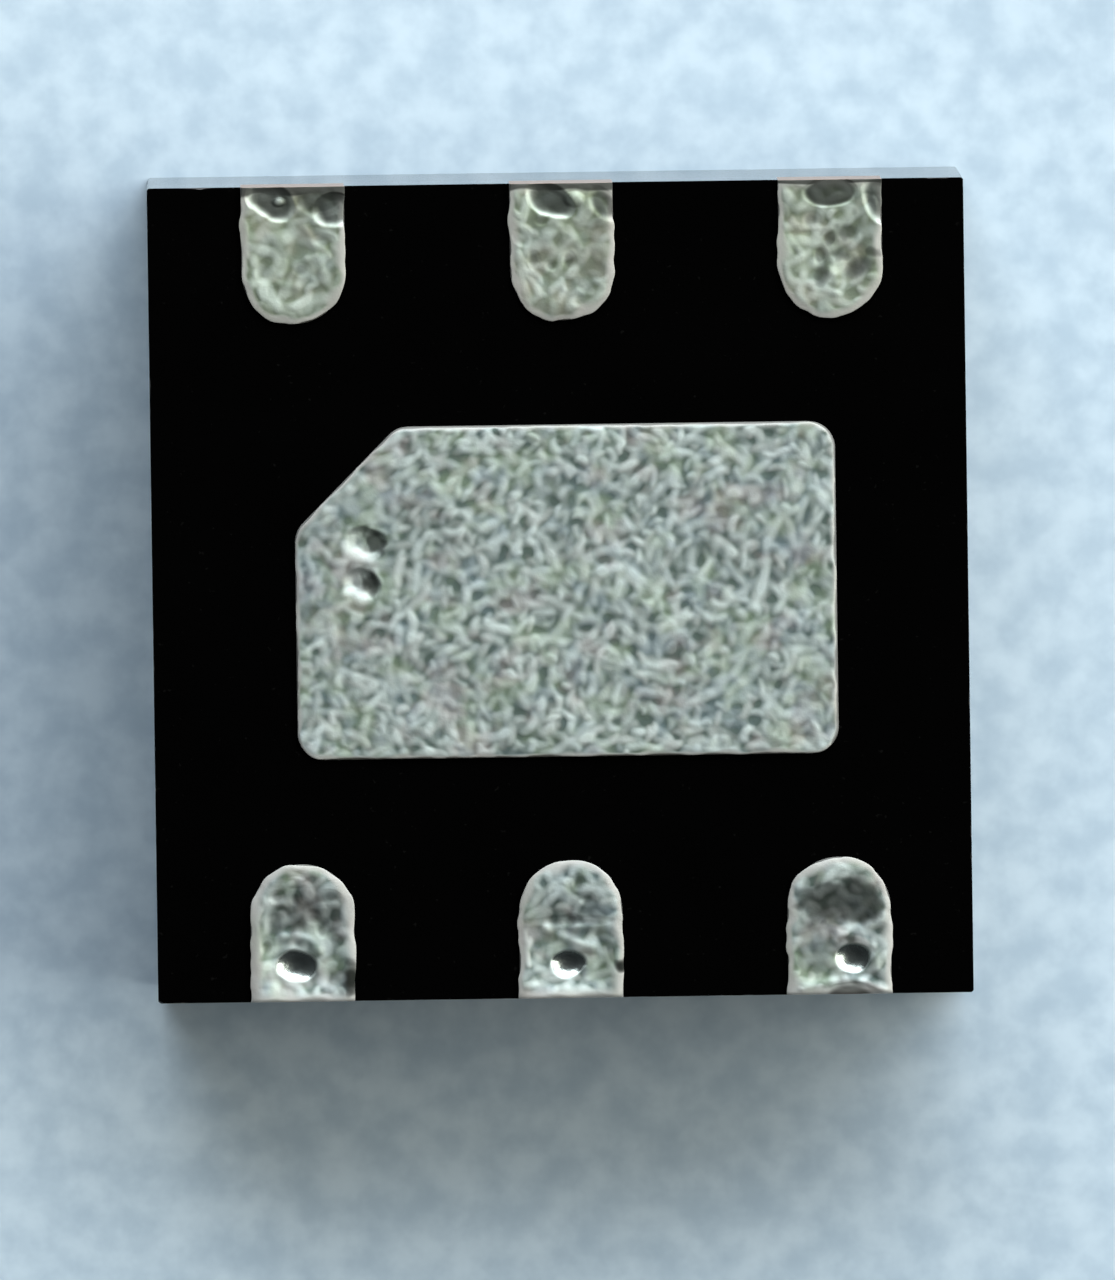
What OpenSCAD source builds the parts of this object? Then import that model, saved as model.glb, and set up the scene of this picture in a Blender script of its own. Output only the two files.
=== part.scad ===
// Six-lead DFN chip, lying on its marking face with its solder side up.
// Millimetres. X runs along the rows of leads, Y across them, and Z is up.
// The origin is the centre of the marking face.

/* [Package] */
// Size of the moulding along the rows of leads
body_w = 1.975; // [1.85:0.005:2.1]
// Size of the moulding across the rows of leads
body_d = 1.975; // [1.85:0.005:2.1]
// Overall height, from the marking face to the solder faces
package_h = 0.75; // [0.65:0.01:1]
// Height of the solder faces above the moulding
standoff = 0.015; // [0.005:0.001:0.03]

/* [Lead frame] */
// Thickness of the lead frame
frame_t = 0.2; // [0.16:0.01:0.25]
// Thickness left at the half-etched ledges, on the die's side
ledge_t = 0.1; // [0.06:0.01:0.12]
// Reach of a half-etched ledge beyond the exposed outline
ledge_w = 0.06; // [0.02:0.005:0.08]
// Offset of the lead frame from the middle of the saw cuts
frame_x = 0.014; // [-0.03:0.001:0.03]

/* [Leads] */
// Distance between the middles of neighbouring leads
lead_pitch = 0.65; // [0.5:0.01:0.7]
// Width of a lead
lead_w = 0.25; // [0.18:0.01:0.3]
// Exposed length of a lead, from the saw cut to its round end
lead_l = 0.333; // [0.25:0.001:0.38]

/* [Exposed pad] */
// Size of the exposed pad along the rows of leads
pad_w = 1.31; // [1.2:0.01:1.5]
// Size of the exposed pad across the rows of leads
pad_d = 0.805; // [0.75:0.005:0.9]
// Length of each leg of the cut corner that marks pin 1
pad_chamfer = 0.25; // [0.1:0.01:0.3]
// Radius that rounds the pad's corners, and both ends of the cut one
pad_corner_r = 0.065; // [0.02:0.005:0.1]
// Width of the tie bars that ran from the pad to the next chip
tie_w = 0.2; // [0.1:0.01:0.3]

/* [Probe dents] */
// Depth of the dents that the test probes left
dent_depth = 0.012; // [0.005:0.001:0.02]

/* [Die and wires] */
// Size of the die along the rows of leads
die_w = 0.95; // [0.85:0.01:1.05]
// Size of the die across the rows of leads
die_d = 0.6; // [0.5:0.01:0.65]
// Thickness of the die
die_t = 0.2; // [0.1:0.01:0.22]
// Thickness of the die-attach layer
attach_t = 0.02; // [0.01:0.005:0.03]
// Reach of the die-attach layer beyond the die
attach_rim = 0.02; // [0.005:0.005:0.03]
// Diameter of a bond wire
wire_d = 0.025; // [0.018:0.001:0.03]
// Diameter of the ball on the die
ball_d = 0.06; // [0.045:0.005:0.08]
// Height of the ball
ball_h = 0.015; // [0.01:0.005:0.025]
// Straight stretch of wire between the ball and the bend
neck_h = 0.04; // [0.02:0.005:0.05]
// Radius of the bend, at the middle of the wire
bend_r = 0.05; // [0.04:0.005:0.06]
// Distance between neighbouring balls on the die
bond_pitch = 0.3; // [0.2:0.01:0.36]
// Distance from the die's edge to the middle of a ball
bond_inset = 0.06; // [0.05:0.005:0.1]
// Distance from a lead's inner end to the end of its wire
stitch_inset = 0.08; // [0.06:0.005:0.12]

/* [Hidden] */
$fn = 64;
leads_per_side = 3;
lead_count = 2 * leads_per_side;
lead_numbers = [1 : lead_count];

// Swelling of a wire where its bend ends, as a share of its diameter
wire_swell = 1.06;

// Levels of the faces
mould_top_z = package_h - standoff;
frame_z = package_h - frame_t;
attach_z = frame_z - attach_t;
die_z = attach_z - die_t;

// Dents on each lead, seen with the saw cut at the top, as
// [place across in half widths of the lead, distance from the saw cut, radius]
lead_dents = [
    [[-0.42, 0.036, 0.046], [0.68, 0.05, 0.044]],
    [[-0.2, 0.042, 0.045], [0.8, 0.05, 0.038]],
    [[0.02, 0.036, 0.046], [0.86, 0.056, 0.038]],
    [[-0.26, 0.091, 0.04]],
    [[0.04, 0.088, 0.043], [-0.9, 0.075, 0.018]],
    [[0.14, 0.093, 0.045], [-0.87, 0.066, 0.026]],
];

// Dents on the pad, as [distance from its -X edge, y, radius]
pad_dents = [[0.163, 0.112, 0.05], [0.158, 0.014, 0.046]];

// The numbers run along the +Y row from -X, and come back along the -Y row
function lead_side(i) = i <= leads_per_side ? 1 : -1;
function lead_column(i) = lead_side(i) * ((i - 1) % leads_per_side - (leads_per_side - 1) / 2);
function lead_x(i) = frame_x + lead_pitch * lead_column(i);

// Ends of a bond wire, seen from above
function bond_point(i) = [frame_x + bond_pitch * lead_column(i), lead_side(i) * (die_d / 2 - bond_inset)];
function stitch_point(i) = [lead_x(i), lead_side(i) * (body_d / 2 - lead_l - ledge_w + stitch_inset)];

// A round-bottomed hollow of the given radius in the solder face
module dent(radius) {
    ball_r = (radius * radius + dent_depth * dent_depth) / (2 * dent_depth);
    translate([0, 0, package_h + ball_r - dent_depth])
        sphere(ball_r);
}

// A lead's outline, from the saw cut at y = 0 to its round end
module lead_outline(length) {
    straight_l = length - lead_w / 2;
    translate([-lead_w / 2, -straight_l])
        square([lead_w, straight_l]);
    translate([0, -straight_l])
        circle(d = lead_w);
}

// The pad's outline, grown by the same amount all round. Each corner is the middle of its arc, and the turns at which
// the arc starts and ends.
module pad_outline(grow) {
    half_w = pad_w / 2 + grow;
    half_d = pad_d / 2 + grow;
    corner_r = pad_corner_r + grow;
    chamfer = pad_chamfer + grow * (2 - sqrt(2));
    bend = corner_r * tan(22.5);
    corners = [
        [[half_w - corner_r, half_d - corner_r], 0, 90],
        [[chamfer + bend - half_w, half_d - corner_r], 90, 135],
        [[corner_r - half_w, half_d - chamfer - bend], 135, 180],
        [[corner_r - half_w, corner_r - half_d], 180, 270],
        [[half_w - corner_r, corner_r - half_d], 270, 360],
    ];
    polygon([for (c = corners, turn = [c[1], c[2]]) c[0] + corner_r * [cos(turn), sin(turn)]]);
    for (c = corners)
        translate(c[0])
            circle(corner_r);
}

// Puts a lead that is drawn with its saw cut at y = 0 into its place
module at_lead(i) {
    translate([lead_x(i), lead_side(i) * body_d / 2, 0])
        rotate(lead_side(i) > 0 ? 0 : 180)
            children();
}

// A lead as it was moulded in, with a half-etched ledge at its inner end
module lead_blank(i) {
    at_lead(i)
        translate([0, 0, frame_z]) {
            linear_extrude(frame_t)
                lead_outline(lead_l);
            linear_extrude(ledge_t)
                lead_outline(lead_l + ledge_w);
        }
}

// The paddle as it was moulded in, with its half-etched rim and tie bars
module pad_blank() {
    translate([frame_x, 0, frame_z]) {
        linear_extrude(frame_t)
            pad_outline(0);
        linear_extrude(ledge_t)
            pad_outline(ledge_w);
    }
    translate([-body_w / 2, -tie_w / 2, frame_z])
        cube([body_w, tie_w, ledge_t]);
}

// Tin-plated copper lead, with its dents
module lead(i) {
    color("#a9b0a8")
        difference() {
            lead_blank(i);
            at_lead(i)
                for (d = lead_dents[i - 1])
                    translate([d[0] * lead_w / 2, -d[1], 0])
                        dent(d[2]);
        }
}

// Tin-plated copper paddle under the die, with its dents
module exposed_pad() {
    color("#b4bab2")
        difference() {
            pad_blank();
            for (d = pad_dents)
                translate([frame_x - pad_w / 2 + d[0], d[1], 0])
                    dent(d[2]);
        }
}

// Layer of epoxy that holds the die to the paddle
module die_attach() {
    color("#c9c6bd")
        translate([frame_x - die_w / 2 - attach_rim, -die_d / 2 - attach_rim, attach_z])
            cube([die_w + 2 * attach_rim, die_d + 2 * attach_rim, attach_t]);
}

// Silicon die, with its active face down
module silicon_die() {
    color("#565b66")
        translate([frame_x - die_w / 2, -die_d / 2, die_z])
            cube([die_w, die_d, die_t]);
}

// Gold wire from the die's active face to a lead: ball, neck, bend and a straight run up to the lead.
// Built along X with its depth below the die along Z, then turned over and into place.
module bond_wire(i) {
    from = bond_point(i);
    run = stitch_point(i) - from;
    span = norm(run);
    rise = frame_z - die_z;
    bend_z = ball_h + neck_h;
    far = norm([span - bend_r, rise + bend_z]);
    climb = atan2(rise + bend_z, span - bend_r) + asin(bend_r / far);
    run_l = sqrt(far * far - bend_r * bend_r);
    color("#d9b34a")
        translate([from[0], from[1], die_z])
            rotate(atan2(run[1], run[0]))
                rotate([180, 0, 0])
                    intersection() {
                        union() {
                            cylinder(d = ball_d, h = ball_h);
                            translate([0, 0, ball_h])
                                cylinder(d = wire_d, h = neck_h);
                            translate([bend_r, 0, bend_z])
                                rotate([90, 0, 180])
                                    rotate_extrude(angle = 90 + climb)
                                        translate([bend_r, 0])
                                            circle(d = wire_d);
                            translate([bend_r * (1 + sin(climb)), 0, bend_z + bend_r * cos(climb)])
                                rotate([0, 90 + climb, 0]) {
                                    sphere(d = wire_d * wire_swell);
                                    cylinder(d = wire_d, h = run_l + wire_d / tan(climb));
                                }
                        }
                        translate([-body_w, -body_d, -rise])
                            cube([2 * body_w, 2 * body_d, package_h]);
                    }
}

// Black moulded block, with a pocket for everything that it was moulded round
module mould_body() {
    color("#1a1a1c")
        difference() {
            translate([-body_w / 2, -body_d / 2, 0])
                cube([body_w, body_d, mould_top_z]);
            pad_blank();
            die_attach();
            silicon_die();
            for (i = lead_numbers) {
                lead_blank(i);
                bond_wire(i);
            }
        }
}

mould_body();
exposed_pad();
die_attach();
silicon_die();
for (i = lead_numbers) {
    lead(i);
    bond_wire(i);
}
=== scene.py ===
"""Looks of a six-lead DFN chip that lies on its marking face, with its solder side up."""

import math
from collections import namedtuple

import bmesh
import bpy
import numpy as np
from mathutils import Matrix, Vector


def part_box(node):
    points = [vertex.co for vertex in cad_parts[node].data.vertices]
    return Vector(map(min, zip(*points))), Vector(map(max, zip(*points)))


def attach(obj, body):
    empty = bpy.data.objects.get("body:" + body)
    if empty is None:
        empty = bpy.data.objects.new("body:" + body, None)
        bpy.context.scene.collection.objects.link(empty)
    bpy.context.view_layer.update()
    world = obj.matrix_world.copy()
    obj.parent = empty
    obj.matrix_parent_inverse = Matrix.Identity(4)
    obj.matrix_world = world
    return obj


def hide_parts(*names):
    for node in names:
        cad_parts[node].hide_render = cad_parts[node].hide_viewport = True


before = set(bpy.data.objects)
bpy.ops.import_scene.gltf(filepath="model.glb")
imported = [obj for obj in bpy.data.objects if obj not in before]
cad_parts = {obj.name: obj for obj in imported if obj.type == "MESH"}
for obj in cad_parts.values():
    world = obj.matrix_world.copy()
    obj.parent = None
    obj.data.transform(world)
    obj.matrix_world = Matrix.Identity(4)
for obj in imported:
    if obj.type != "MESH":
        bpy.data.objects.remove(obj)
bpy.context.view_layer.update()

# Lengths are in millimetres, and MM turns them into the scene's metres
MM = 0.001


def box_mm(node):
    """Lowest and highest corners of a node of the frame, in millimetres."""
    return [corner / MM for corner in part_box(node)]


# Sizes and levels that the frame gives
mould_high = box_mm("mould_body")[1]
pad_low, pad_high = box_mm("exposed_pad")
lead_low, lead_high = box_mm("lead_5")
SOLDER_Z = pad_high.z
FRAME_Z = pad_low.z
MOULD_TOP_Z = mould_high.z
HALF_W = mould_high.x
HALF_D = mould_high.y

# Lead frame
LEDGE_T = 0.1
LEDGE_Z = FRAME_Z + LEDGE_T
LEDGE_W = 0.06
LEAD_COUNT = 6
LEADS_PER_SIDE = 3
LEAD_W = lead_high.x - lead_low.x
LEAD_L = lead_high.y - lead_low.y - LEDGE_W
PAD_X = (lead_low.x + lead_high.x) / 2
PAD_W = 1.31
PAD_D = pad_high.y - pad_low.y - 2 * LEDGE_W
PAD_CHAMFER = 0.25
PAD_CORNER_R = 0.065
TIE_W = 0.2

# Grids of the solder faces, and how far the pad's rows crowd towards its long edges
LEAD_ROWS = 170
LEAD_COLUMNS = 120
PAD_ROWS = 240
PAD_COLUMNS = 390
PAD_CROWDING = 0.4

# Points this close to the chip's sides were sawn
SAWN_WITHIN = 0.0005

# Seeds of the random patterns: the pad's, the step from lead to lead, and the moulding's. Each pattern of a
# face adds a number of its own.
PAD_SEED = 100
LEAD_SEED_STEP = 10
BLOCK_SEED = 5

# Rounded edges of the solder faces: their width away from the light and towards it, how uneven they are
# on the pad, and their drop as a share of the width, on the pad and at the saw cuts, and along the leads
SHARP_EDGE = 0.003
WORN_EDGE = 0.012
EDGE_UNEVENNESS = 0.5
EDGE_DROP = 0.4
LEAD_EDGE_DROP = 0.15

# Smooth rims of the solder faces: the length of their waves and how uneven these make them, the width of
# their crown and its drop on the pad, and the distances from the edge, or from the saw cut, between which
# the grain sets in
RIM_WAVE = 0.10
RIM_UNEVENNESS = 0.4
LEAD_CROWN_W = 0.024
PAD_CROWN_W = 0.014
PAD_CROWN_DROP = 0.0010
LEAD_GRAIN_FROM = 0.004
LEAD_GRAIN_WHOLE = 0.022
CUT_GRAIN_WHOLE = 0.03
PAD_GRAIN_WHOLE = 0.010

# Uneven outlines of the solder faces: how far they are drawn in, or swell where that is below 0, how far
# they stray from that, the lengths of their long and short waves and the share of each, and how far from
# the edge the face follows them
PAD_DRAWN_IN = 0.002
PAD_STRAY = 0.002
LEAD_DRAWN_IN = -0.001
LEAD_STRAY = 0.0045
LONG_STRAY = 0.14
LONG_SHARE = 0.7
SHORT_STRAY = 0.05
SHORT_SHARE = 0.3
STRAY_REACH = 0.05

# Where most of the light comes from, seen from above, how far the pad's edge faces it where it is widest,
# and the distance over which the facing of one edge passes into the next
LIT_X = 0.64
LIT_Y = 0.77
FULLY_LIT = 0.8
FACING_BLEND = 0.005

# Grain of the tin: distance between its grains on the pad and on the leads, and the height of their heap
PAD_GRAIN = 0.028
LEAD_GRAIN = 0.03
GRAIN_H = 0.0020
# Half width of a grain as a share of that distance, half length as a share of the half width, how far it
# bends in half widths, and how high it is
GRAIN_WIDTHS = (0.32, 0.60)
GRAIN_LENGTHS = (1.4, 3.2)
GRAIN_BENDS = (-0.9, 0.9)
GRAIN_CRESTS = (0.35, 1.1)
# Passes that soften the heap, the length and spread of the waves in it, and the shares of grains and waves
SOFTENING = 3
BLOTCH_LENGTH = 1.5
BLOTCH_SPREAD = 0.35
GRAIN_SHARE = 0.68
BLOTCH_SHARE = 0.32
# Level of the smooth rim between the gaps and the crests of the grain, and how far they differ in colour,
# the darker gaps partly painted shade
CREST_REST = 0.55
GRAIN_CONTRAST = 1.35
# Lengths and heights of the broad waves under the grain
SHORT_SWELL = 0.14
SHORT_SWELL_H = 0.0005
LONG_SWELL = 0.30
LONG_SWELL_H = 0.0011
# Plane waves in a random field: their number, and their lengths as shares of the field's
WAVE_COUNT = 40
WAVE_LENGTHS = (0.8, 1.25)

# Rims of the dents: the length of their waves, and how far these move the rim, as a share of its radius
DENT_WAVE = 0.08
DENT_UNEVENNESS = 0.07
# Depths between which a wiped mark turns into a pressed one. The rims of wiped marks also have crinkles:
# their length, and how far they move the rim, in millimetres and at most as a share of its radius.
WIPED_DEPTH = 0.001
PRESSED_DEPTH = 0.002
CRINKLE = 0.028
CRINKLE_REACH = 0.006
CRINKLE_LIMIT = 0.3
# Shares of a dent's depth: where its stain and painted shade set in, how much later that is where it was
# pressed, where they are whole, and where the polish is
STAIN_AND_SHADE_FROM = 0.1
PRESSED_LATER = 0.3
STAIN_AND_SHADE_WHOLE = 0.98
POLISH_WHOLE = 0.3
# Dishes of the leads: how far from the edge they start, where on the rise their painted shade is whole,
# between which shares of it the shade fades, and how far the grain's crests clear the shade
DISH_FROM = 0.010
RISE_SHADE_WHOLE = 0.2
RISE_SHADE_FADES = (0.6, 1.0)
CREST_CLEARS = 0.35
# Bands that the saw smeared: their darkness, the share of their width that is whole, and their waver
SMEAR_STAIN = 0.85
SMEAR_WHOLE = 0.6
SMEAR_WAVER = 0.004

# Rounded edges of the moulding: the radii of its upright, lower and upper edges, and how far the block
# that cuts them stands clear of its faces
UPRIGHT_EDGE_R = 0.012
LOWER_EDGE_R = 0.006
UPPER_EDGE_R = 0.004
BLOCK_CLEAR = 0.0015
# Points of that block along a side, round an upright edge, and across the other edges
SIDE_POINTS = 260
UPRIGHT_POINTS = 12
EDGE_POINTS = 7
# Chips along its upper edge: their number, their widths in points, and their depths
CHIPS = 90
CHIP_WIDTHS = (0.8, 3.5)
CHIP_DEPTHS = (0.001, 0.004)
# Least part of a face's normal along Z if it is moulded, not sawn, and along any axis if it is flat
MOULDED_FACE = 0.98
FLAT_FACE = 0.999
# Points of the frame's block that are closer than this become one
MERGE_DISTANCE = 1e-5

# Angles from which edges stay sharp, in degrees
PLATING_SHARP = 45
MOULD_SHARP = 25


class Wire:
    """One socket of a node tree. Arithmetic adds Math nodes, and add() makes any other node."""

    def __init__(self, tree, socket=None):
        self.tree = tree
        self.socket = socket

    def add(self, kind, settings=None, inputs=None, output=0):
        """A node of that kind: its settings first, then the values or links of its sockets."""
        node = self.tree.nodes.new(kind)
        for name, value in (settings or {}).items():
            setattr(node, name, value)
        for key, value in (inputs or {}).items():
            if isinstance(value, Wire):
                self.tree.links.new(value.socket, node.inputs[key])
            else:
                node.inputs[key].default_value = value
        return Wire(self.tree, node.outputs[output])

    def math(self, operation, *values):
        """A Math node on numbers or wires."""
        return self.add("ShaderNodeMath", {"operation": operation}, dict(enumerate(values)))

    def __add__(self, other):
        return self.math("ADD", self, other)

    def __sub__(self, other):
        return self.math("SUBTRACT", self, other)

    def __rsub__(self, other):
        return self.math("SUBTRACT", other, self)

    def __mul__(self, other):
        return self.math("MULTIPLY", self, other)

    __radd__ = __add__
    __rmul__ = __mul__

    def step(self, low, high):
        """0 below low, 1 above high, and a smooth rise between them."""
        settings = {"interpolation_type": "SMOOTHSTEP"}
        return self.add("ShaderNodeMapRange", settings, {0: self, 1: low, 2: high})

    def mix(self, first, second):
        """A colour that is first where this value is 0, and second where it is 1."""
        return self.add("ShaderNodeMix", {"data_type": "RGBA"}, {0: self, 6: first, 7: second}, 2)


def rgb(red, green, blue):
    """A linear colour from screen values of 0 to 255."""
    share = np.array([red, green, blue]) / 255
    linear = np.where(share > 0.04045, ((share + 0.055) / 1.055) ** 2.4, share / 12.92)
    return (*linear.tolist(), 1.0)


def material(name, dress, **constants):
    """A material whose Principled shader has those constant sockets, and what dress links to it."""
    made = bpy.data.materials.new(name)
    made.use_nodes = True
    tree = made.node_tree
    shader = tree.nodes["Principled BSDF"]
    for socket, value in constants.items():
        shader.inputs[socket.replace("_", " ")].default_value = value
    for socket, wire in dress(Wire(tree)).items():
        tree.links.new(wire.socket, shader.inputs[socket])
    return made


def noise(start, size, detail=2.0, stretch=(1.0, 1.0, 1.0), shift=0.0):
    """Noise of that feature size in millimetres, drawn out along the axes by stretch, and shifted."""
    coords = start.add("ShaderNodeTexCoord", output="Object")
    scale = [1 / (MM * size * length) for length in stretch]
    inputs = {"Vector": coords, "Scale": scale, "Location": (shift, shift, shift)}
    moved = start.add("ShaderNodeMapping", None, inputs)
    return start.add("ShaderNodeTexNoise", None, {"Vector": moved, "Scale": 1.0, "Detail": detail})


def bump(start, height, depth):
    """A normal that follows a height of 0 to 1, whose full depth is in millimetres."""
    return start.add("ShaderNodeBump", None, {"Height": height, "Distance": depth * MM})


def attribute(start, name):
    """A value that the mesh holds at each of its points."""
    return start.add("ShaderNodeAttribute", {"attribute_name": name}, None, "Fac")


# Patches of other tints on the tin: their size, the shift of their noise, its level where they start, their
# strength and their colour on a screen. They are whole at the last level.
Patch = namedtuple("Patch", "size shift level strength colour")
TIN_PATCHES = [
    Patch(0.08, 3.1, 0.45, 0.26, (167, 189, 147)),
    Patch(0.10, 0.0, 0.5, 0.26, (180, 159, 160)),
    Patch(0.08, 7.3, 0.5, 0.22, (140, 162, 180)),
]
PATCH_WHOLE = 0.7
# Places in y between which the tin turns yellower
YELLOW_FROM = 0.5
YELLOW_WHOLE = 0.7
# Strengths of the grains' own tints, of the yellow and of the pale rim
GRAIN_TINT = 0.12
YELLOW = 0.35
PALE_RIM = 0.7


def tin(start):
    """Tin plating, partly matte: grey-green with faint patches of other tints, light crests and darker gaps,
    the gaps partly painted shade, yellower on the upper row of leads, with a smooth pale rim, dark where it
    was wiped or smeared, with painted shade on its dents and on the rises of its dishes, shiny where a probe
    pressed it, and bare sawn copper on the cut faces."""
    # Grain tone: light crests, and darker gaps that are partly painted shade
    colour = attribute(start, "crest").mix(rgb(90, 106, 100), rgb(206, 219, 216))
    tint = attribute(start, "tint")
    colour = (GRAIN_TINT * tint.step(0.5, 1.0)).mix(colour, rgb(152, 169, 187))
    colour = (GRAIN_TINT * (1 - tint).step(0.5, 1.0)).mix(colour, rgb(185, 172, 169))
    for patch in TIN_PATCHES:
        cover = noise(start, patch.size, shift=patch.shift).step(patch.level, PATCH_WHOLE)
        colour = (patch.strength * cover).mix(colour, rgb(*patch.colour))
    coords = start.add("ShaderNodeTexCoord", output="Object")
    place = start.add("ShaderNodeSeparateXYZ", None, {0: coords}, "Y")
    upper_row = place.step(YELLOW_FROM * MM, YELLOW_WHOLE * MM)
    colour = (YELLOW * upper_row).mix(colour, rgb(154, 162, 129))
    colour = (PALE_RIM * attribute(start, "rim")).mix(colour, rgb(200, 198, 194))
    polish = attribute(start, "polish")
    colour = polish.mix(colour, rgb(198, 211, 207))
    # Dark where it was stained or smeared, and painted shade on the floors of dents and on the rises of
    # dishes
    colour = attribute(start, "stain").mix(colour, rgb(38, 42, 38))
    saw_lines = noise(start, 0.006, stretch=(40.0, 40.0, 1.0))
    copper = saw_lines.mix(rgb(176, 154, 142), rgb(198, 180, 170))
    colour = attribute(start, "cut").mix(colour, copper)
    grit = noise(start, 0.007)
    return {
        "Base Color": colour,
        "Metallic": 0.7 + 0.3 * polish,
        "Roughness": 0.55 + 0.1 * grit - 0.36 * polish,
        "Normal": bump(start, grit, 0.0003),
    }


def moulded_face(start):
    """Matte black moulding compound, with faint grey specks of its filler."""
    cloud = noise(start, 0.25, 3.0)
    speck = noise(start, 0.014, 1.0).step(0.72, 0.84)
    colour = cloud.mix(rgb(0.5, 0.5, 0.5), rgb(2, 2, 2))
    colour = (0.4 * speck).mix(colour, rgb(22, 22, 21))
    return {"Base Color": colour, "Normal": bump(start, noise(start, 0.01, 3.0), 0.0006)}


def sawn_wall(start):
    """Sawn moulding compound: mottled dark grey, glossy, with fine saw lines and pale cut filler grains."""
    grains = noise(start, 0.012, 1.0).step(0.62, 0.76)
    lines = noise(start, 0.007, stretch=(60.0, 60.0, 1.0))
    cloud = (0.5 * noise(start, 0.09, 3.0) + 0.5 * lines).step(0.35, 0.65)
    colour = cloud.mix(rgb(36, 35, 34), rgb(54, 53, 52))
    colour = (0.6 * grains).mix(colour, rgb(140, 136, 128))
    roughness = 0.08 + 0.08 * lines + 0.06 * grains
    return {"Base Color": colour, "Roughness": roughness, "Normal": bump(start, lines, 0.0002)}


def silicon(start):
    """Ground silicon: dark blue-grey with fine grinding lines."""
    lines = noise(start, 0.01, stretch=(1.0, 30.0, 30.0))
    colour = lines.mix(rgb(70, 76, 90), rgb(100, 106, 118))
    return {"Base Color": colour, "Roughness": 0.2 + 0.2 * lines}


def silver_epoxy(start):
    """Die-attach epoxy, full of silver flakes."""
    flakes = noise(start, 0.012)
    colour = flakes.mix(rgb(150, 148, 140), rgb(214, 212, 204))
    return {"Base Color": colour, "Roughness": 0.35 + 0.3 * flakes}


def gold(start):
    """Drawn gold wire, slightly mottled."""
    mottle = noise(start, 0.02)
    colour = mottle.mix(rgb(226, 178, 84), rgb(246, 208, 124))
    return {"Base Color": colour, "Roughness": 0.2 + 0.15 * mottle}


def paper(start):
    """Plain pale blue-white floor, faintly mottled."""
    mottle = noise(start, 0.1, 3.0).step(0.25, 0.75)
    return {"Base Color": mottle.mix(rgb(184, 206, 223), rgb(209, 229, 243))}


def smooth(value, low, high):
    """0 below low, 1 above high, and between them 3 s^2 - 2 s^3, with s the share of the way."""
    share = np.clip((value - low) / (high - low), 0, 1)
    return share * share * (3 - 2 * share)


def waves(x, y, length, seed):
    """Random field of unit spread: a sum of plane waves of about one length, in random directions."""
    draw = np.random.default_rng(seed)
    turns = draw.uniform(0, math.tau, WAVE_COUNT)
    phases = draw.uniform(0, math.tau, WAVE_COUNT)
    pitches = math.tau / (length * draw.uniform(*WAVE_LENGTHS, WAVE_COUNT))
    total = np.zeros_like(x)
    for turn, phase, pitch in zip(turns, phases, pitches):
        total += np.cos(pitch * (x * math.cos(turn) + y * math.sin(turn)) + phase)
    return total * math.sqrt(2 / WAVE_COUNT)


def softened(field, passes):
    """Each pass averages a point, four times over, with its four neighbours on the grid."""
    for _ in range(passes):
        wide = np.pad(field, 1, mode="edge")
        beside = wide[1:-1, :-2] + wide[1:-1, 2:] + wide[:-2, 1:-1] + wide[2:, 1:-1]
        field = (4 * field + beside) / 8
    return field


def heaped_grains(x, y, spacing, seed):
    """Height and tint, both from 0 to 1, of a heap of long bent grains, one near each point of a grid. With
    u across a grain in half widths and v along it in half lengths, its body is 1 - u^2 - v^4. The heap is
    the fourth root of the sum of the fourth powers, so the highest grain shows, blended with random waves,
    and the tint is that of the grains on top."""
    draw = np.random.default_rng(seed)
    cells_x = np.arange(x.min() - spacing, x.max() + spacing, spacing)
    cells_y = np.arange(y.min() - spacing, y.max() + spacing, spacing)
    middles = np.stack(np.meshgrid(cells_x, cells_y), axis=-1).reshape(-1, 2)
    middles = middles + draw.uniform(0, spacing, middles.shape)
    count = len(middles)
    turns = draw.uniform(0, math.pi, count)
    half_ws = spacing * draw.uniform(*GRAIN_WIDTHS, count)
    half_ls = half_ws * draw.uniform(*GRAIN_LENGTHS, count)
    bends = draw.uniform(*GRAIN_BENDS, count)
    crests = draw.uniform(*GRAIN_CRESTS, count)
    tints = draw.uniform(0.0, 1.0, count)
    faint = 1e-6
    total = np.full(x.size, faint)
    tinted = np.full(x.size, 0.5 * faint)
    grains = zip(middles, turns, half_ws, half_ls, bends, crests, tints)
    for middle, turn, half_w, half_l, bend, crest, tint in grains:
        right = x.ravel() - middle[0]
        up = y.ravel() - middle[1]
        reach = half_l + half_w
        near = np.flatnonzero((np.abs(right) < reach) & (np.abs(up) < reach))
        along = (right[near] * math.cos(turn) + up[near] * math.sin(turn)) / half_l
        across = (up[near] * math.cos(turn) - right[near] * math.sin(turn)) / half_w + bend * along**2
        weight = (crest * np.clip(1 - across**2 - along**4, 0, None)) ** 4
        total[near] += weight
        tinted[near] += weight * tint
    heap = softened(np.minimum(total**0.25, 1).reshape(x.shape), SOFTENING)
    top_tint = softened((tinted / total).reshape(x.shape), SOFTENING)
    blotch = np.clip(0.5 + BLOTCH_SPREAD * waves(x, y, BLOTCH_LENGTH * spacing, seed + 50), 0, 1)
    return GRAIN_SHARE * heap + BLOTCH_SHARE * blotch, top_tint


def swells(x, y, seed):
    """Low broad waves, in millimetres: the sum of a short and a long random field."""
    short = SHORT_SWELL_H * waves(x, y, SHORT_SWELL, seed)
    return short + LONG_SWELL_H * waves(x, y, LONG_SWELL, seed + 1)


def crest_level(heap, grain):
    """How light the tin is, with its gaps darkened partly as painted shade: its level at rest, and the
    heap's height over that as far as the grain shows.
    """
    return CREST_REST + GRAIN_CONTRAST * (heap - CREST_REST) * grain


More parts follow.
